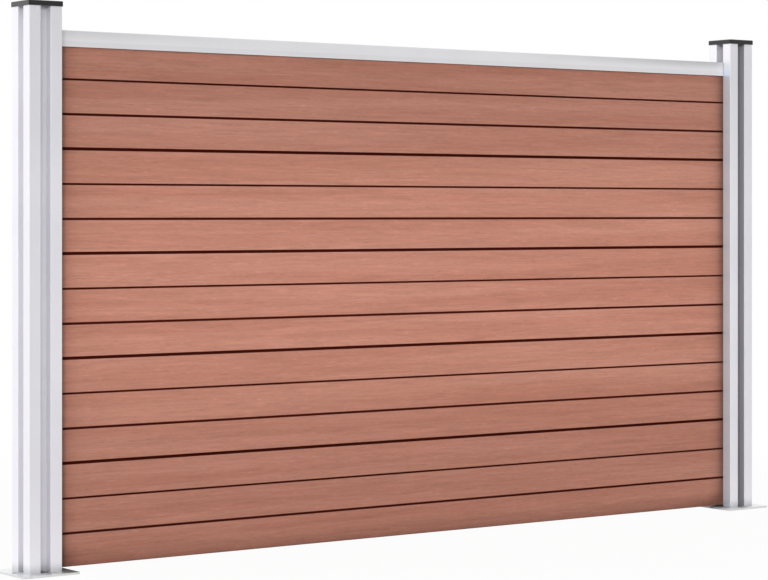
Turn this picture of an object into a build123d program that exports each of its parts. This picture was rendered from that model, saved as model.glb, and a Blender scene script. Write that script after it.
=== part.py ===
from build123d import *
import os

# Composite garden fence: grooved boards and a top rail between two slotted posts on base plates.
# Millimetres. X runs along the fence, the front faces -Y, Z is up and the ground is Z = 0.

# Fence
clear_width = 1740.0  # between the facing sides of the two posts
board_count = 5

# Boards, stacked tongue up, groove down
board_thickness = 20.0
board_pitch = 200.0
joint_gap = 4.6  # shadow gap between the faces of two boards
tongue_thickness = 7.6
tongue_clearance = 0.4  # at each side of the tongue
tongue_chamfer = 1.0
tongue_engagement = 9.0  # the tip bears on the groove's floor
upper_groove_drop = 67.4  # from the middle of the joint above
upper_groove_width = 3.5
lower_groove_drop = 134.1
lower_groove_width = 4.3
face_groove_depth = 3.0
face_groove_chamfer = 0.5
board_edge_chamfer = 1.0
board_face_wall = 4.5  # from a face to the hollow chambers
board_web = 7.0  # between two chambers
board_chamber_chamfer = 2.0
chambers_per_strip = 2
board_side_clearance = 0.5  # at each face, in the post's slot
expansion_gap = 5.0  # from a board's end to the slot's floor

# Posts, one extrusion with the same slot in all four sides
post_size = 70.0
post_corner_radius = 1.5
post_wall = 2.0
post_core_wall = 2.5  # behind the floor of a slot
core_sides = 8
post_rise = 49.5  # above the top rail
slot_depth = 18.0
slot_mouth_chamfer = 0.8
port_wall = 2.5

# Base plates
plate_overhang = 25.0
plate_thickness = 4.0
plate_corner_chamfer = 2.0
anchor_hole_diameter = 11.0
anchor_edge_distance = 13.0

# Countersunk screws that hold each base plate to its post
screw_diameter = 4.8
screw_head_diameter = 9.2
screw_length = 25.0
screw_recess = 0.2  # head below the plate's underside
screw_clearance = 0.1
drive_width = 3.0
drive_depth = 1.6

# Post caps
cap_clearance = 0.4
cap_wall = 1.2
cap_top = 3.0
cap_skirt = 7.0
cap_corner_radius = 2.0
cap_edge_chamfer = 1.0
spigot_clearance = 0.25
spigot_length = 22.0
spigot_wall = 2.0
spigot_lead_in = 0.6

# Top rail
rail_height = 31.0
rail_wall = 2.0
rail_web = 1.8
rail_side_clearance = 0.5  # between a leg and the board's face
rail_overlap = 3.0  # of the legs over the top board's faces
rail_end_gap = 1.0
rail_edge_radius = 0.8

# Blocks that carry the lowest board in the posts' slots
support_height = 4.0
support_reach = 5.0  # out of the slot
support_clearance = 0.3
support_chamfer = 1.0
support_ridge_clearance = 0.5

# Sizes that follow from the driving dimensions
slot_width = board_thickness + 2 * board_side_clearance
board_face_height = board_pitch - joint_gap
board_length = clear_width + 2 * (slot_depth - expansion_gap)
tongue_length = joint_gap + tongue_engagement
board_groove_width = tongue_thickness + 2 * tongue_clearance
board_chamber_width = board_thickness - 2 * board_face_wall
face_bottom_to_joint = joint_gap / 2
lower_groove_height = board_pitch - lower_groove_drop - face_bottom_to_joint
upper_groove_height = board_pitch - upper_groove_drop - face_bottom_to_joint

lowest_board_foot = plate_thickness + support_height
top_shoulder = lowest_board_foot + board_count * board_pitch - joint_gap
rail_foot = top_shoulder - rail_overlap
rail_channel_width = board_thickness + 2 * rail_side_clearance
rail_channel_depth = rail_overlap + tongue_length
rail_width = rail_channel_width + 2 * rail_wall
rail_length = clear_width - 2 * rail_end_gap

post_foot = plate_thickness
post_top = rail_foot + rail_height + post_rise
post_length = post_top - post_foot
post_offset = (clear_width + post_size) / 2
post_centers = {"left": -post_offset, "right": post_offset}
post_chamber_size = (post_size - slot_width) / 2 - 2 * post_wall
post_chamber_spacing = (post_size + slot_width) / 2
core_radius = post_size / 2 - slot_depth - post_core_wall
port_radius = screw_diameter / 2 + screw_clearance
port_spacing = slot_width + 2 * (port_wall + port_radius)

plate_size = post_size + 2 * plate_overhang
anchor_circle_radius = plate_size / 2 - anchor_edge_distance

cap_foot = post_top - cap_skirt
cap_cavity_size = post_size + 2 * cap_clearance
cap_size = cap_cavity_size + 2 * cap_wall
spigot_inner = port_spacing / 2 + port_radius + port_wall + spigot_clearance
spigot_outer = post_size / 2 - post_wall - spigot_clearance
spigot_size = spigot_outer - spigot_inner


def cross_section_plane(height):
    """The plane across the middle of the fence, seen along +X, with its origin at this height."""
    return Plane((0, 0, height), x_dir=(0, 1, 0), z_dir=(1, 0, 0))


def make_post(side):
    """A hollow extrusion: four corner tubes and a core, with a slot between each two tubes."""
    with BuildPart() as post:
        with BuildSketch(Plane((post_centers[side], 0, post_foot))) as section:
            RectangleRounded(post_size, post_size, post_corner_radius)
            with PolarLocations(post_size / 2, 4):
                Rectangle(2 * slot_depth, slot_width, mode=Mode.SUBTRACT)
            slot_mouths = section.vertices().filter_by(
                lambda v: abs(min(abs(v.X), abs(v.Y)) - slot_width / 2) < 1e-4
                and abs(max(abs(v.X), abs(v.Y)) - post_size / 2) < 1e-4
            )
            chamfer(slot_mouths, slot_mouth_chamfer)
            with GridLocations(post_chamber_spacing, post_chamber_spacing, 2, 2):
                Rectangle(post_chamber_size, post_chamber_size, mode=Mode.SUBTRACT)
            with GridLocations(port_spacing, port_spacing, 2, 2):
                Circle(port_radius + port_wall)
                Circle(port_radius, mode=Mode.SUBTRACT)
            RegularPolygon(
                core_radius,
                core_sides,
                major_radius=False,
                rotation=180 / core_sides,
                mode=Mode.SUBTRACT,
            )
        extrude(amount=post_length)
    return post.part


def make_base_plate(side):
    """A square plate: an anchor hole in the middle of each side, screw holes sunk into the underside."""
    with BuildPart() as plate:
        with BuildSketch(Plane((post_centers[side], 0, 0))):
            Rectangle(plate_size, plate_size)
        extrude(amount=plate_thickness)
        chamfer(plate.edges().filter_by(Axis.Z), plate_corner_chamfer)
        with Locations(Plane((post_centers[side], 0, plate_thickness))):
            with PolarLocations(anchor_circle_radius, 4):
                Hole(anchor_hole_diameter / 2)
        with Locations(Plane((post_centers[side], 0, 0), z_dir=(0, 0, -1))):
            with GridLocations(port_spacing, port_spacing, 2, 2):
                CounterSinkHole(
                    radius=screw_diameter / 2 + screw_clearance,
                    counter_sink_radius=screw_head_diameter / 2 + screw_recess + screw_clearance,
                    counter_sink_angle=90,
                )
    return plate.part


def make_base_screws(side):
    """Four countersunk screws, up through the base plate into the post's screw ports."""
    head_radius = screw_head_diameter / 2
    shank_radius = screw_diameter / 2
    head_depth = head_radius - shank_radius
    with BuildPart() as screw:
        with BuildSketch(Plane.XZ):
            with BuildLine():
                Polyline(
                    (0, screw_recess),
                    (head_radius, screw_recess),
                    (shank_radius, screw_recess + head_depth),
                    (shank_radius, screw_length),
                    (0, screw_length),
                    close=True,
                )
            make_face()
        revolve(axis=Axis.Z)
        with BuildSketch(Plane.XY.offset(screw_recess)):
            RegularPolygon(drive_width / 2, 6, major_radius=False)
        extrude(amount=drive_depth, mode=Mode.SUBTRACT)
    with BuildPart() as screws:
        with Locations((post_centers[side], 0, 0)):
            with GridLocations(port_spacing, port_spacing, 2, 2):
                add(screw.part)
    return screws.part


def make_cap(side):
    """A moulded lid whose skirt laps the post's top and whose spigots grip its corner tubes."""
    center_x = post_centers[side]
    with BuildPart() as cap:
        with BuildSketch(Plane((center_x, 0, cap_foot))):
            RectangleRounded(cap_size, cap_size, cap_corner_radius)
        extrude(amount=cap_skirt + cap_top)
        chamfer(cap.faces().sort_by(Axis.Z)[-1].edges(), cap_edge_chamfer)
        with BuildSketch(Plane((center_x, 0, cap_foot))):
            Rectangle(cap_cavity_size, cap_cavity_size)
        extrude(amount=cap_skirt, mode=Mode.SUBTRACT)
        with BuildSketch(Plane((center_x, 0, post_top))):
            with GridLocations(spigot_inner + spigot_outer, spigot_inner + spigot_outer, 2, 2):
                Rectangle(spigot_size, spigot_size)
                Rectangle(
                    spigot_size - 2 * spigot_wall,
                    spigot_size - 2 * spigot_wall,
                    mode=Mode.SUBTRACT,
                )
        extrude(amount=-spigot_length)
        spigot_feet = cap.faces().group_by(Axis.Z)[0]
        chamfer([edge for foot in spigot_feet for edge in foot.outer_wire().edges()], spigot_lead_in)
    return cap.part


def board_chambers():
    """The (middle height, height) of each hollow chamber: an equal number in each strip of the face."""
    strips = [
        (tongue_engagement, lower_groove_height),
        (lower_groove_height, upper_groove_height),
        (upper_groove_height, board_face_height),
    ]
    for low, high in strips:
        cell = (high - low) / chambers_per_strip
        for index in range(chambers_per_strip):
            yield low + (index + 0.5) * cell, cell - board_web


def chamber_outline(height):
    """The corners of a chamber this high: a rectangle with its four corners cut off."""
    side = board_chamber_width / 2
    end = height / 2
    side_cut = side - board_chamber_chamfer
    end_cut = end - board_chamber_chamfer
    upper = [(side, end_cut), (side_cut, end), (-side_cut, end), (-side, end_cut)]
    lower = [(-x, -y) for x, y in upper]
    return upper + lower


def make_board(number):
    """A hollow extruded board: tongue above, groove below, two grooves along each face."""
    foot = lowest_board_foot + (number - 1) * board_pitch
    half = board_thickness / 2
    face_grooves = (
        (lower_groove_height, lower_groove_width),
        (upper_groove_height, upper_groove_width),
    )
    with BuildPart() as board:
        with BuildSketch(cross_section_plane(foot)) as section:
            Rectangle(board_thickness, board_face_height, align=(Align.CENTER, Align.MIN))
            chamfer(section.vertices(), board_edge_chamfer)
            for height, width in face_grooves:
                with Locations((-half, height), (half, height)):
                    Rectangle(2 * face_groove_depth, width, mode=Mode.SUBTRACT)
                lips = section.vertices().filter_by(
                    lambda v: abs(abs(v.X) - half) < 1e-4 and abs(abs(v.Y - height) - width / 2) < 1e-4
                )
                chamfer(lips, face_groove_chamfer)
            Rectangle(
                board_groove_width,
                tongue_engagement,
                align=(Align.CENTER, Align.MIN),
                mode=Mode.SUBTRACT,
            )
            with Locations((0, board_face_height)):
                Rectangle(tongue_thickness, tongue_length, align=(Align.CENTER, Align.MIN))
            chamfer(section.vertices().group_by(Axis.Y)[-1], tongue_chamfer)
            for middle, height in board_chambers():
                with Locations((0, middle)):
                    Polygon(*chamber_outline(height), mode=Mode.SUBTRACT)
        extrude(amount=board_length / 2, both=True)
    return board.part


def make_top_rail():
    """A box section above a channel; its web rests on the top board's tongue."""
    box_foot = rail_channel_depth + rail_web
    with BuildPart() as rail:
        with BuildSketch(cross_section_plane(rail_foot)) as section:
            Rectangle(rail_width, rail_height, align=(Align.CENTER, Align.MIN))
            fillet(section.vertices().group_by(Axis.Y)[-1], rail_edge_radius)
            Rectangle(
                rail_channel_width,
                rail_channel_depth,
                align=(Align.CENTER, Align.MIN),
                mode=Mode.SUBTRACT,
            )
            with Locations((0, box_foot)):
                Rectangle(
                    rail_channel_width,
                    rail_height - rail_wall - box_foot,
                    align=(Align.CENTER, Align.MIN),
                    mode=Mode.SUBTRACT,
                )
        extrude(amount=rail_length / 2, both=True)
    return rail.part


def make_board_support(side):
    """A block on the base plate, in the post's slot, with a ridge in the lowest board's groove."""
    inner_end = clear_width / 2 - support_reach
    outer_end = clear_width / 2 + slot_depth - support_clearance
    direction = 1 if side == "right" else -1
    middle = direction * (inner_end + outer_end) / 2
    length = outer_end - inner_end
    with BuildPart() as support:
        with BuildSketch(Plane((middle, 0, plate_thickness))):
            Rectangle(length, slot_width - 2 * support_clearance)
        extrude(amount=support_height)
        with BuildSketch(Plane((middle, 0, lowest_board_foot))):
            Rectangle(length, board_groove_width - 2 * support_ridge_clearance)
        extrude(amount=tongue_engagement - support_ridge_clearance)
        chamfer(support.faces().sort_by(Axis.Z)[-1].edges(), support_chamfer)
    return support.part


def write(part, name):
    part.label = name
    export_step(part, f"parts/{name}.step")


os.makedirs("parts", exist_ok=True)

for side in post_centers:
    write(make_post(side), f"{side}_post")
    write(make_base_plate(side), f"{side}_base_plate")
    write(make_base_screws(side), f"{side}_base_screws")
    write(make_cap(side), f"{side}_post_cap")
    write(make_board_support(side), f"{side}_board_support")

for number in range(1, board_count + 1):
    write(make_board(number), f"board_{number}")

write(make_top_rail(), "top_rail")
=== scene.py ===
import math

import bpy
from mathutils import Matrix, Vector

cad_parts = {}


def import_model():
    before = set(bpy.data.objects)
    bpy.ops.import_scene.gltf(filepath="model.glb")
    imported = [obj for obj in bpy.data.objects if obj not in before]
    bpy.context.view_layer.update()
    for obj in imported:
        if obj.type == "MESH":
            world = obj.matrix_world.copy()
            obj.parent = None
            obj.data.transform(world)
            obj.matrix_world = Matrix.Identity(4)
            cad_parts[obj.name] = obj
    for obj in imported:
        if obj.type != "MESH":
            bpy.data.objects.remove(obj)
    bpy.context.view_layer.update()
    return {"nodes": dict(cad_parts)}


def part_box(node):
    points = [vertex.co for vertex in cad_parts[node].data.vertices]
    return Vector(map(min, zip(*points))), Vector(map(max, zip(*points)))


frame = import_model()

# Camera, from the photograph's perspective, in metres and pixels
IMAGE_WIDTH = 768
CAMERA_PLACE = (-3.132, -4.187, 0.682)
CAMERA_TURN = math.radians(-36)
CAMERA_LENS = 116.06
CAMERA_SENSOR = 36
HORIZON_ABOVE_CENTRE = 76.5
CENTRE_RIGHT = 0.7

# The boards' outline, read from the frame
BOARD_LOW, BOARD_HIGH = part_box("board_1")
BOARD_FACE = BOARD_HIGH.y
BOARD_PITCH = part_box("board_2")[0].z - BOARD_LOW.z
BOARD_COUNT = 5
GROOVE_SHADE_START = BOARD_FACE - 0.0001
GROOVE_SHADE_END = BOARD_FACE - 0.0005

# The posts' outline, read from the frame
POST_LOW, POST_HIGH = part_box("right_post")
POST_MIDDLE = (POST_LOW.x + POST_HIGH.x) / 2
POST_HALF = (POST_HIGH.x - POST_LOW.x) / 2
POST_INNER = POST_MIDDLE - POST_HALF
INNER_FACE_START = POST_INNER + 0.0005
INNER_FACE_END = POST_INNER + 0.0012
SLOT_SHADE_START = POST_HALF - 0.0008
SLOT_SHADE_END = POST_HALF - 0.004
SLOT_FLOOR = POST_HALF - 0.018
SLOT_FLOOR_NEAR = SLOT_FLOOR + 0.0005
SLOT_FLOOR_FAR = SLOT_FLOOR + 0.002

# The rail's outline, read from the frame
RAIL_LOW, RAIL_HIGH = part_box("top_rail")
RAIL_LIP = RAIL_LOW.z + 0.0025
RAIL_SEAM = RAIL_LOW.z + 0.010
RAIL_LINE = 0.0005
RAIL_SHINE_LEFT = -0.35
RAIL_SHINE_RIGHT = 0.15

# Where noise and edges begin and end to show
NOISE_LOW = 0.3
NOISE_HIGH = 0.7
EDGE_SHARP = 0.8
EDGE_FLAT = 0.97
EDGE_WIDTH = 0.0012
FINE_EDGE_WIDTH = 0.001

# Each finish below: its colours, its features per metre along x, y and z, and the shares of its shades.
# Relief is a height in metres and a strength; roughness goes from the first value to the second.

# Composite
COMPOSITE_DARK = (0.436, 0.187, 0.132, 1)
COMPOSITE_PALE = (0.492, 0.228, 0.166, 1)
COMPOSITE_RUBBED = (0.60, 0.34, 0.27, 1)
GROOVE_SHADE_COLOUR = (0.06, 0.004, 0.0006, 1)
BANDS = (0.8, 8, 26)
FIGURE = (3.5, 20, 70)
STREAKS = (16, 60, 320)
FLECKS = (38, 90, 240)
FIBRES = (70, 300, 1100)
STREAK_RANGE = (0.28, 0.72)
PALE_FLECK_RANGE = (0.58, 0.72)
DARK_FLECK_RANGE = (0.42, 0.28)
FIGURE_TONE = 0.06
STREAK_TONE = 0.07
PALE_FLECK_TONE = 0.12
DARK_FLECK_TONE = -0.10
FIBRE_TONE = 0.06
BOARD_TONE_LOW = 0.985
BOARD_TONE_HIGH = 1.015
CORNER_REACH = 0.05
CORNER_OPENNESS = (0.53, 0.98)
CORNER_TONE = 0.36
COMPOSITE_RUBBED_SHARE = 0.35
COMPOSITE_ROUGHNESS = (0.62, 0.8)
COMPOSITE_SPECULAR = 0.15
STREAK_RELIEF = (0.0006, 0.6)
FIBRE_RELIEF = (0.0003, 0.5)

# Light from the ground along the lowest board's foot
FOOT_LIGHT = 1.3
FOOT_LIGHT_LOW = BOARD_LOW.z + 0.005
FOOT_LIGHT_HIGH = BOARD_LOW.z + 0.022
FOOT_LIGHT_END = POST_INNER - 0.03
FOOT_LIGHT_FULL = POST_INNER - 0.17

# Aluminium
POST_DARK = (0.86, 0.85, 0.90, 1)
POST_PALE = (0.90, 0.89, 0.935, 1)
RAIL_DARK = (0.93, 0.925, 0.955, 1)
RAIL_PALE = (0.96, 0.955, 0.98, 1)
RAIL_SHADED = (0.55, 0.55, 0.57, 1)
DIE_LINE = (0.78, 0.78, 0.81, 1)
ALUMINIUM_RUBBED = (0.95, 0.95, 0.96, 1)
ALUMINIUM_CORNER_SHADE = (0.30, 0.30, 0.31, 1)
SLOT_SHADED = (0.12, 0.12, 0.125, 1)
INNER_SHADED = (0.74, 0.83, 0.93, 1)
POST_FOOT_SHADE = (0.42, 0.43, 0.46, 1)
LINES_ALONG = 0.6
LINES_ACROSS = 900
ALUMINIUM_CLOUD = (5, 5, 5)
ALUMINIUM_SPECKS = (2600, 2600, 2600)
ALUMINIUM_METALLIC = 0.45
ALUMINIUM_RUBBED_SHARE = 0.5
DIE_LINE_SHARE = 0.1
DIE_LINE_ROUGHNESS = (0.28, 0.32)
DIE_LINE_RELIEF = (0.00002, 0.2)
CLOUD_ROUGHNESS = (0, 0.04)
SPECK_RELIEF = (0.00001, 0.2)
# Painted shade in the aluminium's corners and slots, darker where they are closed in
ALUMINIUM_SHADE_REACH = 0.03
ALUMINIUM_SHADE_OPENNESS = (0.7, 0.1)
ALUMINIUM_SHADE_SHARE = 0.12
# Painted shade on the posts' feet, darker towards the plate
POST_FOOT_SHADE_TOP = POST_LOW.z + 0.022
POST_FOOT_SHADE_SHARE = 0.5
RAIL_LEFT_SHADE = 0.35
RAIL_RIGHT_SHADE = 0.78
RAIL_LOWER_SHADE = 0.12
# Shares of painted shade in a post's side slots, then on the walls and on the floors of its front and back
# slots
LEFT_SLOT_SHARES = (0.0, 0.14, 0.0)
RIGHT_SLOT_SHARES = (0.2, 0.46, 0.76)

# Galvanised steel
ZINC_DARK = (0.88, 0.885, 0.90, 1)
ZINC_PALE = (0.95, 0.955, 0.96, 1)
ZINC_DULL = (0.78, 0.79, 0.81, 1)
ZINC_RUBBED = (0.93, 0.93, 0.94, 1)
PLATE_SHADE_COLOUR = (0.05, 0.05, 0.052, 1)
SPANGLES = 160.0
ZINC_CLOUD = (40, 40, 40)
ZINC_METALLIC = 0.85
ZINC_DULL_RANGE = (0.35, 0.75)
ZINC_DULL_SHARE = 0.2
ZINC_RUBBED_SHARE = 0.5
ZINC_RELIEF = (0.0001, 0.3)
SPANGLE_ROUGHNESS = (0.36, 0.46)
# Painted shade in the plates' corners
PLATE_SHADE_REACH = 0.05
PLATE_SHADE_OPENNESS = (0.6, 0.3)
PLATE_SHADE_SHARE = 0.9
PLATE_SHADE_ROUGHNESS = (0, 0.4)
# Painted shadow on the top of the left plate's strip under the boards
PLATE_SHADOW_SHARE = 0.8
PLATE_SHADOW_FACING = (0.5, 0.9)
PLATE_SHADOW_START = -POST_INNER - 0.001
PLATE_SHADOW_END = -POST_INNER + 0.001

# Screws
SCREW_DARK = (0.60, 0.61, 0.63, 1)
SCREW_PALE = (0.76, 0.77, 0.78, 1)
SCREW_MARKS = (60, 60, 2500)
SCREW_CLOUD = (300, 300, 300)
SCREW_ROUGHNESS = (0.22, 0.42)
SCREW_RELIEF = (0.00005, 0.4)

# Black plastic
PLASTIC_DARK = (0.002, 0.002, 0.0023, 1)
PLASTIC_PALE = (0.005, 0.005, 0.0055, 1)
PLASTIC_RUBBED = (0.05, 0.05, 0.055, 1)
PLASTIC_GRAIN = (1500, 1500, 1500)
PLASTIC_CLOUD = (60, 60, 60)
PLASTIC_RUBBED_SHARE = 0.4
PLASTIC_ROUGHNESS = (0.26, 0.36)
PLASTIC_RELIEF = (0.00008, 0.3)
PLASTIC_SPECULAR = 0.25
PLASTIC_COAT = 0.8
PLASTIC_COAT_ROUGHNESS = 0.15

# Light levels
WHITE = (1, 1, 1, 1)
BRIGHT_SIDE = (-1, 0, 0)
BRIGHT_EDGE = 0.9
BRIGHT_LIGHT = 1.56
ROOM_LIGHT = 0.33
FRONT_GLOSS = 0.62
FRONT_GLOSS_START = -0.75
FRONT_GLOSS_END = -0.35
KEY_FROM = (-0.615, -0.760, 0.21)
KEY_ANGLE = math.radians(14)
KEY_POWER = 1.15
STRIP_LENGTH = 1.78
STRIP_HEIGHT = 0.55
STRIP_DISTANCE = 0.6
STRIP_LEVEL = 0.535
STRIP_SPREAD = math.radians(45)
FRONT_STRIP_POWER = 0.836
BACK_STRIP_POWER = 1.21

# Floor
FLOOR_SIZE = 12
FLOOR_CELLS = 8
FLOOR_DROP = 0.0005
FLOOR_PALE = (0.8, 0.8, 0.8, 1)
FLOOR_ROUGHNESS = 0.9
FLOOR_GLOW = 0.96
FLOOR_FADE_START = 1.2
FLOOR_FADE_END = 2.4
FLOOR_FRONT_START = -2.5
FLOOR_FRONT_END = -0.6


def add_node(tree, kind, inputs=None, **settings):
    """A node with its settings; an input takes a value, or the output that it is joined to."""
    node = tree.nodes.new(kind)
    for name, value in settings.items():
        setattr(node, name, value)
    for key, value in (inputs or {}).items():
        if isinstance(value, bpy.types.NodeSocket):
            tree.links.new(value, node.inputs[key])
        else:
            node.inputs[key].default_value = value
    return node


def math_node(tree, operation, first, second=0.0):
    """The result of one sum on two values."""
    return add_node(tree, "ShaderNodeMath", {0: first, 1: second}, operation=operation).outputs[0]


def spread(tree, value, low, high, new_low=0.0, new_high=1.0):
    """A value moved from one range to another, held inside it."""
    inputs = {"Value": value, "From Min": low, "From Max": high, "To Min": new_low, "To Max": new_high}
    return add_node(tree, "ShaderNodeMapRange", inputs, interpolation_type="SMOOTHSTEP").outputs[0]


def noise_spread(tree, noise, new_low=0.0, new_high=1.0):
    """Noise moved from its usual range to another."""
    return spread(tree, noise, NOISE_LOW, NOISE_HIGH, new_low, new_high)


def mix_colours(tree, factor, first, second):
    """Two colours mixed by a factor."""
    inputs = {0: factor, 6: first, 7: second}
    return add_node(tree, "ShaderNodeMix", inputs, data_type="RGBA").outputs[2]


def place(tree):
    """The point's place in the frame, in metres."""
    return add_node(tree, "ShaderNodeTexCoord").outputs["Object"]


def split(tree, vector):
    """A vector's x, y and z."""
    return add_node(tree, "ShaderNodeSeparateXYZ", {0: vector}).outputs


def stretched_noise(tree, point, stretch, detail=4.0, roughness=0.55, distortion=0.0):
    """Noise with so many features per metre along x, y and z."""
    scaled = add_node(tree, "ShaderNodeMapping", {"Vector": point, "Scale": stretch}).outputs[0]
    inputs = {
        "Vector": scaled,
        "Scale": 1.0,
        "Detail": detail,
        "Roughness": roughness,
        "Distortion": distortion,
    }
    return add_node(tree, "ShaderNodeTexNoise", inputs).outputs[0]


def bump(tree, height, distance, strength, under=None):
    """Fine relief of a height map, over other relief."""
    inputs = {"Height": height, "Distance": distance, "Strength": strength}
    if under is not None:
        inputs["Normal"] = under
    return add_node(tree, "ShaderNodeBump", inputs).outputs[0]


def rubbed_edges(tree, radius, share):
    """A share on sharp edges, nought on flat faces."""
    rounded = add_node(tree, "ShaderNodeBevel", {"Radius": radius}, samples=6).outputs[0]
    flat = add_node(tree, "ShaderNodeNewGeometry").outputs["Normal"]
    turn = add_node(tree, "ShaderNodeVectorMath", {0: rounded, 1: flat}, operation="DOT_PRODUCT")
    return spread(tree, turn.outputs["Value"], EDGE_FLAT, EDGE_SHARP, 0, share)


def openness(tree, reach):
    """One on open faces, less in corners and slots that are closed in within the reach."""
    return add_node(tree, "ShaderNodeAmbientOcclusion", {"Distance": reach}, samples=8).outputs["AO"]


def new_material(name):
    """A material with a principled shader, and its node tree."""
    material = bpy.data.materials.new(name)
    material.use_nodes = True
    tree = material.node_tree
    shader = tree.nodes["Principled BSDF"]
    return material, tree, shader


def composite():
    """Brushed wood-plastic composite: red-brown, with streaks along the board and painted shade in its
    grooves.
    """
    material, tree, shader = new_material("composite")
    point = place(tree)
    parts = split(tree, point)

    # Broad bands, wood-like figure, streaks, flecks and short fibres, all drawn out along the board
    bands = stretched_noise(tree, point, BANDS, detail=2)
    figure = stretched_noise(tree, point, FIGURE, detail=3, distortion=1.6)
    streaks = stretched_noise(tree, point, STREAKS, detail=5, roughness=0.65)
    flecks = stretched_noise(tree, point, FLECKS, detail=2)
    fibres = stretched_noise(tree, point, FIBRES, detail=3, roughness=0.7)

    colour = mix_colours(tree, noise_spread(tree, bands), COMPOSITE_DARK, COMPOSITE_PALE)
    tone = math_node(tree, "ADD", noise_spread(tree, figure, -FIGURE_TONE, FIGURE_TONE), 1.0)
    tone = math_node(tree, "ADD", tone, spread(tree, streaks, *STREAK_RANGE, -STREAK_TONE, STREAK_TONE))
    tone = math_node(tree, "ADD", tone, spread(tree, flecks, *PALE_FLECK_RANGE, 0, PALE_FLECK_TONE))
    tone = math_node(tree, "ADD", tone, spread(tree, flecks, *DARK_FLECK_RANGE, 0, DARK_FLECK_TONE))
    tone = math_node(tree, "ADD", tone, noise_spread(tree, fibres, -FIBRE_TONE, FIBRE_TONE))

    # Each board comes from the press in its own slight tone
    board = math_node(tree, "SUBTRACT", parts["Z"], BOARD_LOW.z)
    board = math_node(tree, "FLOOR", math_node(tree, "DIVIDE", board, BOARD_PITCH))
    own = add_node(tree, "ShaderNodeTexWhiteNoise", {"W": board}, noise_dimensions="1D").outputs["Value"]
    tone = math_node(tree, "MULTIPLY", tone, spread(tree, own, 0, 1, BOARD_TONE_LOW, BOARD_TONE_HIGH))

    # Shade in the corners; the pale ground lights the lowest board's foot, less close to the right post
    corner = spread(tree, openness(tree, CORNER_REACH), *CORNER_OPENNESS, CORNER_TONE, 1.0)
    tone = math_node(tree, "MULTIPLY", tone, corner)
    lift = spread(tree, parts["X"], FOOT_LIGHT_END, FOOT_LIGHT_FULL, 1.0, FOOT_LIGHT)
    lift = spread(tree, parts["Z"], FOOT_LIGHT_LOW, FOOT_LIGHT_HIGH, lift, 1.0)
    tone = math_node(tree, "MULTIPLY", tone, lift)
    brushed = add_node(tree, "ShaderNodeVectorMath", {0: colour, "Scale": tone}, operation="SCALE").outputs[0]

    # Arrises rub pale; the grooves get painted shade, dark from their lips inwards
    worn = rubbed_edges(tree, EDGE_WIDTH, COMPOSITE_RUBBED_SHARE)
    brushed = mix_colours(tree, worn, brushed, COMPOSITE_RUBBED)
    depth = math_node(tree, "ABSOLUTE", parts["Y"])
    groove_shade = spread(tree, depth, GROOVE_SHADE_START, GROOVE_SHADE_END)
    final = mix_colours(tree, groove_shade, brushed, GROOVE_SHADE_COLOUR)
    tree.links.new(final, shader.inputs["Base Color"])

    tree.links.new(noise_spread(tree, streaks, *COMPOSITE_ROUGHNESS), shader.inputs["Roughness"])
    relief = bump(tree, streaks, *STREAK_RELIEF)
    relief = bump(tree, fibres, *FIBRE_RELIEF, under=relief)
    tree.links.new(relief, shader.inputs["Normal"])
    shader.inputs["Specular IOR Level"].default_value = COMPOSITE_SPECULAR
    return material


def slot_shade(tree, point, in_side_slots, on_walls, on_floor):
    """A share of painted shade in a post's side slots, others on the walls and floors of its front and back
    slots.
    """
    parts = split(tree, point)
    along = math_node(tree, "SUBTRACT", math_node(tree, "ABSOLUTE", parts["X"]), POST_MIDDLE)
    along = math_node(tree, "ABSOLUTE", along)
    across = math_node(tree, "ABSOLUTE", parts["Y"])
    inside_sides = spread(tree, along, SLOT_SHADE_START, SLOT_SHADE_END, 0, in_side_slots)
    inside_front = spread(tree, across, SLOT_SHADE_START, SLOT_SHADE_END)
    share = spread(tree, across, SLOT_FLOOR_FAR, SLOT_FLOOR_NEAR, on_walls, on_floor)
    share = math_node(tree, "MULTIPLY", inside_front, share)
    side_slot = math_node(tree, "GREATER_THAN", along, across)
    chosen = add_node(tree, "ShaderNodeMix", {0: side_slot, 2: share, 3: inside_sides}, data_type="FLOAT")
    return chosen.outputs[0]


def inner_face(tree, point):
    """One on the posts' faces that look along the boards, which get a painted cooler shade below the rail;
    nought elsewhere and above the rail.
    """
    parts = split(tree, point)
    along = math_node(tree, "ABSOLUTE", parts["X"])
    facing = spread(tree, along, INNER_FACE_END, INNER_FACE_START)
    below_rail = spread(tree, parts["Z"], RAIL_HIGH.z, RAIL_LOW.z)
    return math_node(tree, "MULTIPLY", facing, below_rail)


def rail_shade(tree, point):
    """More shade towards the rail's top and ends, a little under its seam, none on the lip along its foot."""
    parts = split(tree, point)
    along = parts["X"]
    height = parts["Z"]
    left_end = spread(tree, along, RAIL_SHINE_LEFT, RAIL_LOW.x, 0, RAIL_LEFT_SHADE)
    right_end = spread(tree, along, RAIL_SHINE_RIGHT, RAIL_HIGH.x, 0, RAIL_RIGHT_SHADE)
    ends = math_node(tree, "ADD", left_end, right_end)
    upper = math_node(tree, "MULTIPLY", spread(tree, height, RAIL_SEAM, RAIL_HIGH.z), ends)
    lower = spread(tree, height, RAIL_SEAM + RAIL_LINE, RAIL_SEAM - RAIL_LINE, 0, RAIL_LOWER_SHADE)
    above_lip = spread(tree, height, RAIL_LIP - RAIL_LINE, RAIL_LIP + RAIL_LINE)
    return math_node(tree, "MULTIPLY", math_node(tree, "ADD", upper, lower), above_lip)


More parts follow.
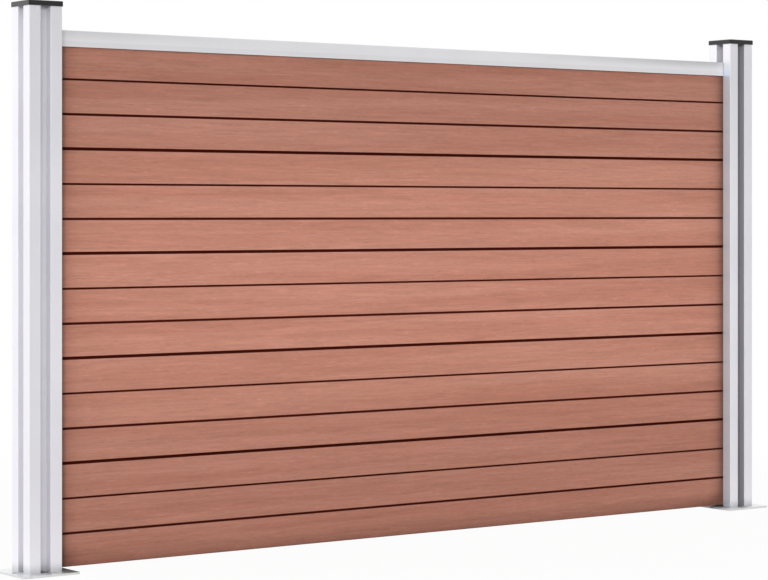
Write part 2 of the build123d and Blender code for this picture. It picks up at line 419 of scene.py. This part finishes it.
def aluminium(name, lines_along, slot_shares=None):
    """Satin anodised aluminium with faint die lines; shaded as a post with slot shares, else as the rail."""
    material, tree, shader = new_material(name)
    point = place(tree)
    stretch = {
        "x": (LINES_ALONG, LINES_ACROSS, LINES_ACROSS),
        "z": (LINES_ACROSS, LINES_ACROSS, LINES_ALONG),
    }[lines_along]
    lines = stretched_noise(tree, point, stretch, detail=3)
    cloud = stretched_noise(tree, point, ALUMINIUM_CLOUD, detail=4)
    specks = stretched_noise(tree, point, ALUMINIUM_SPECKS, detail=1)

    dark, pale = (POST_DARK, POST_PALE) if slot_shares else (RAIL_DARK, RAIL_PALE)
    colour = mix_colours(tree, noise_spread(tree, cloud), dark, pale)
    colour = mix_colours(tree, noise_spread(tree, lines, 0, DIE_LINE_SHARE), colour, DIE_LINE)
    worn = rubbed_edges(tree, EDGE_WIDTH, ALUMINIUM_RUBBED_SHARE)
    colour = mix_colours(tree, worn, colour, ALUMINIUM_RUBBED)
    # Painted shade in corners and slots, darker where they are closed in
    corner_shade = spread(tree, openness(tree, ALUMINIUM_SHADE_REACH), *ALUMINIUM_SHADE_OPENNESS, 0, ALUMINIUM_SHADE_SHARE)
    colour = mix_colours(tree, corner_shade, colour, ALUMINIUM_CORNER_SHADE)
    if slot_shares:
        colour = mix_colours(tree, slot_shade(tree, point, *slot_shares), colour, SLOT_SHADED)
        # Painted cooler shade on the faces that look along the boards, below the rail
        colour = mix_colours(tree, inner_face(tree, point), colour, INNER_SHADED)
        # Painted shade on each post's foot, darker towards the plate
        foot_shade = spread(tree, split(tree, point)["Z"], POST_FOOT_SHADE_TOP, POST_LOW.z, 0, POST_FOOT_SHADE_SHARE)
        colour = mix_colours(tree, foot_shade, colour, POST_FOOT_SHADE)
    else:
        colour = mix_colours(tree, rail_shade(tree, point), colour, RAIL_SHADED)
    tree.links.new(colour, shader.inputs["Base Color"])
    shader.inputs["Metallic"].default_value = ALUMINIUM_METALLIC

    roughness = noise_spread(tree, lines, *DIE_LINE_ROUGHNESS)
    roughness = math_node(tree, "ADD", roughness, noise_spread(tree, cloud, *CLOUD_ROUGHNESS))
    tree.links.new(roughness, shader.inputs["Roughness"])
    relief = bump(tree, lines, *DIE_LINE_RELIEF)
    relief = bump(tree, specks, *SPECK_RELIEF, under=relief)
    tree.links.new(relief, shader.inputs["Normal"])
    return material


def plate_shadow(tree, point):
    """Painted shadow on the top of the left plate's strip under the boards: a share there, nought elsewhere.
    """
    along = split(tree, point)["X"]
    under_boards = spread(tree, along, PLATE_SHADOW_START, PLATE_SHADOW_END)
    under_boards = math_node(tree, "MULTIPLY", under_boards, math_node(tree, "LESS_THAN", along, 0.0))
    facing = add_node(tree, "ShaderNodeNewGeometry").outputs["Normal"]
    upward = spread(tree, split(tree, facing)["Z"], *PLATE_SHADOW_FACING, 0, PLATE_SHADOW_SHARE)
    return math_node(tree, "MULTIPLY", under_boards, upward)


def galvanised():
    """Zinc-coated steel with a soft spangle, with painted shade in its corners and painted shadow where the
    boards cover the left plate.
    """
    material, tree, shader = new_material("galvanised_steel")
    point = place(tree)
    spangle = add_node(tree, "ShaderNodeTexVoronoi", {"Vector": point, "Scale": SPANGLES, "Randomness": 1.0})
    spangle_tone = add_node(tree, "ShaderNodeSeparateColor", {0: spangle.outputs["Color"]}).outputs[0]
    cloud = stretched_noise(tree, point, ZINC_CLOUD, detail=4)

    colour = mix_colours(tree, spread(tree, spangle_tone, 0, 1), ZINC_DARK, ZINC_PALE)
    dull = spread(tree, cloud, *ZINC_DULL_RANGE, 0, ZINC_DULL_SHARE)
    colour = mix_colours(tree, dull, colour, ZINC_DULL)
    worn = rubbed_edges(tree, FINE_EDGE_WIDTH, ZINC_RUBBED_SHARE)
    colour = mix_colours(tree, worn, colour, ZINC_RUBBED)
    # Painted shade in the corners, joined with the painted shadow under the boards; the zinc is duller and
    # rougher there
    plate_shade = spread(tree, openness(tree, PLATE_SHADE_REACH), *PLATE_SHADE_OPENNESS, 0, PLATE_SHADE_SHARE)
    plate_shade = math_node(tree, "MAXIMUM", plate_shade, plate_shadow(tree, point))
    colour = mix_colours(tree, plate_shade, colour, PLATE_SHADE_COLOUR)
    tree.links.new(colour, shader.inputs["Base Color"])
    metallic = spread(tree, plate_shade, 0, PLATE_SHADE_SHARE, ZINC_METALLIC, 0.0)
    tree.links.new(metallic, shader.inputs["Metallic"])

    roughness = spread(tree, spangle_tone, 0, 1, *SPANGLE_ROUGHNESS)
    shaded_roughness = spread(tree, plate_shade, 0, PLATE_SHADE_SHARE, *PLATE_SHADE_ROUGHNESS)
    tree.links.new(math_node(tree, "ADD", roughness, shaded_roughness), shader.inputs["Roughness"])
    tree.links.new(bump(tree, cloud, *ZINC_RELIEF), shader.inputs["Normal"])
    return material


def screw_steel():
    """Bright zinc-plated screws with turning marks."""
    material, tree, shader = new_material("screw_steel")
    point = place(tree)
    marks = stretched_noise(tree, point, SCREW_MARKS, detail=2)
    cloud = stretched_noise(tree, point, SCREW_CLOUD, detail=3)
    colour = mix_colours(tree, noise_spread(tree, cloud), SCREW_DARK, SCREW_PALE)
    tree.links.new(colour, shader.inputs["Base Color"])
    shader.inputs["Metallic"].default_value = 1.0
    tree.links.new(noise_spread(tree, marks, *SCREW_ROUGHNESS), shader.inputs["Roughness"])
    tree.links.new(bump(tree, marks, *SCREW_RELIEF), shader.inputs["Normal"])
    return material


def black_plastic():
    """Moulded black plastic, finely grained, paler where edges rub."""
    material, tree, shader = new_material("black_plastic")
    point = place(tree)
    grain = stretched_noise(tree, point, PLASTIC_GRAIN, detail=2)
    cloud = stretched_noise(tree, point, PLASTIC_CLOUD, detail=4)
    colour = mix_colours(tree, noise_spread(tree, cloud), PLASTIC_DARK, PLASTIC_PALE)
    worn = rubbed_edges(tree, FINE_EDGE_WIDTH, PLASTIC_RUBBED_SHARE)
    colour = mix_colours(tree, worn, colour, PLASTIC_RUBBED)
    tree.links.new(colour, shader.inputs["Base Color"])
    tree.links.new(noise_spread(tree, grain, *PLASTIC_ROUGHNESS), shader.inputs["Roughness"])
    tree.links.new(bump(tree, grain, *PLASTIC_RELIEF), shader.inputs["Normal"])
    shader.inputs["Specular IOR Level"].default_value = PLASTIC_SPECULAR
    shader.inputs["Coat Weight"].default_value = PLASTIC_COAT
    shader.inputs["Coat Roughness"].default_value = PLASTIC_COAT_ROUGHNESS
    return material


def dress_nodes():
    """Each CAD node in its finish."""
    post_metal = {
        "left": aluminium("aluminium_left_post", "z", LEFT_SLOT_SHARES),
        "right": aluminium("aluminium_right_post", "z", RIGHT_SLOT_SHARES),
    }
    rail_metal = aluminium("aluminium_rail", "x")
    wood = composite()
    zinc = galvanised()
    screw = screw_steel()
    plastic = black_plastic()
    finishes = {f"board_{number}": wood for number in range(1, BOARD_COUNT + 1)}
    finishes["top_rail"] = rail_metal
    for side in ("left", "right"):
        finishes[f"{side}_post"] = post_metal[side]
        finishes[f"{side}_base_plate"] = zinc
        finishes[f"{side}_base_screws"] = screw
        finishes[f"{side}_post_cap"] = plastic
        finishes[f"{side}_board_support"] = plastic
    for name, node in frame["nodes"].items():
        node.data.materials.clear()
        node.data.materials.append(finishes[name])


def seen_directly(tree):
    """One for rays from the camera, from gloss and through glass."""
    path = add_node(tree, "ShaderNodeLightPath")
    seen = math_node(tree, "MAXIMUM", path.outputs["Is Camera Ray"], path.outputs["Is Glossy Ray"])
    return math_node(tree, "MAXIMUM", seen, path.outputs["Is Transmission Ray"])


def white_level(tree, depth, start, end):
    """Full white for the camera; for gloss, less in front of the fence."""
    in_front = spread(tree, depth, start, end, FRONT_GLOSS, 1.0)
    camera_ray = add_node(tree, "ShaderNodeLightPath").outputs["Is Camera Ray"]
    return math_node(tree, "MAXIMUM", camera_ray, in_front)


def floor():
    """A pale floor that goes over to the white background away from the fence, and keeps the shadow."""
    bpy.ops.mesh.primitive_grid_add(
        x_subdivisions=FLOOR_CELLS, y_subdivisions=FLOOR_CELLS, size=FLOOR_SIZE, location=(0, 0, -FLOOR_DROP)
    )
    ground = bpy.context.object
    ground.name = "floor"
    material, tree, shader = new_material("floor")
    shader.inputs["Base Color"].default_value = FLOOR_PALE
    shader.inputs["Roughness"].default_value = FLOOR_ROUGHNESS
    shader.inputs["Specular IOR Level"].default_value = 0.0
    level = white_level(tree, split(tree, place(tree))["Y"], FLOOR_FRONT_START, FLOOR_FRONT_END)
    glow = add_node(tree, "ShaderNodeEmission", {"Color": WHITE, "Strength": level})
    reach = add_node(tree, "ShaderNodeVectorMath", {0: place(tree)}, operation="LENGTH").outputs["Value"]
    share = spread(tree, reach, FLOOR_FADE_START, FLOOR_FADE_END, FLOOR_GLOW, 1.0)
    share = math_node(tree, "MULTIPLY", share, seen_directly(tree))
    shaders = {0: share, 1: shader.outputs[0], 2: glow.outputs[0]}
    mixed = add_node(tree, "ShaderNodeMixShader", shaders)
    tree.links.new(mixed.outputs[0], tree.nodes["Material Output"].inputs["Surface"])
    ground.data.materials.append(material)


def world():
    """A white background; the light of a pale room that is brightest at the left."""
    setting = bpy.data.worlds.new("studio")
    bpy.context.scene.world = setting
    setting.use_nodes = True
    tree = setting.node_tree
    room = tree.nodes["Background"]
    direction = add_node(tree, "ShaderNodeTexCoord").outputs["Generated"]
    towards = add_node(tree, "ShaderNodeVectorMath", {0: direction, 1: BRIGHT_SIDE}, operation="DOT_PRODUCT")
    light = spread(tree, towards.outputs["Value"], 0, BRIGHT_EDGE, ROOM_LIGHT, BRIGHT_LIGHT)
    tree.links.new(light, room.inputs["Strength"])
    room.inputs["Color"].default_value = WHITE
    level = white_level(tree, split(tree, direction)["Y"], FRONT_GLOSS_START, FRONT_GLOSS_END)
    white = add_node(tree, "ShaderNodeBackground", {"Color": WHITE, "Strength": level})
    shaders = {0: seen_directly(tree), 1: room.outputs[0], 2: white.outputs[0]}
    shown = add_node(tree, "ShaderNodeMixShader", shaders)
    tree.links.new(shown.outputs[0], tree.nodes["World Output"].inputs["Surface"])


def strip_light(name, side, power):
    """A long soft strip lamp level with the boards, on one side of the fence; gloss does not see it."""
    data = bpy.data.lights.new(name, "AREA")
    data.shape = "RECTANGLE"
    data.size = STRIP_LENGTH
    data.size_y = STRIP_HEIGHT
    data.energy = power
    data.spread = STRIP_SPREAD
    lamp = bpy.data.objects.new(name, data)
    bpy.context.scene.collection.objects.link(lamp)
    lamp.location = (0, side * STRIP_DISTANCE, STRIP_LEVEL)
    lamp.rotation_euler = (-side * math.pi / 2, 0, 0)
    lamp.visible_camera = False
    lamp.visible_glossy = False


def key_light():
    """A far softbox at the left in front, a little above the fence; gloss does not see it."""
    data = bpy.data.lights.new("key", "SUN")
    data.energy = KEY_POWER
    data.angle = KEY_ANGLE
    lamp = bpy.data.objects.new("key", data)
    bpy.context.scene.collection.objects.link(lamp)
    lamp.rotation_euler = Vector(KEY_FROM).to_track_quat("Z", "Y").to_euler()
    lamp.visible_glossy = False


def camera():
    """The photograph's viewpoint."""
    data = bpy.data.cameras.new("camera")
    data.lens = CAMERA_LENS
    data.sensor_width = CAMERA_SENSOR
    data.sensor_fit = "HORIZONTAL"
    data.shift_x = -CENTRE_RIGHT / IMAGE_WIDTH
    data.shift_y = -HORIZON_ABOVE_CENTRE / IMAGE_WIDTH
    viewer = bpy.data.objects.new("camera", data)
    bpy.context.scene.collection.objects.link(viewer)
    viewer.location = CAMERA_PLACE
    viewer.rotation_euler = (math.pi / 2, 0, CAMERA_TURN)
    bpy.context.scene.camera = viewer


dress_nodes()
floor()
world()
key_light()
strip_light("front_strip", -1, FRONT_STRIP_POWER)
strip_light("back_strip", 1, BACK_STRIP_POWER)
camera()
bpy.context.scene.view_settings.view_transform = "Standard"
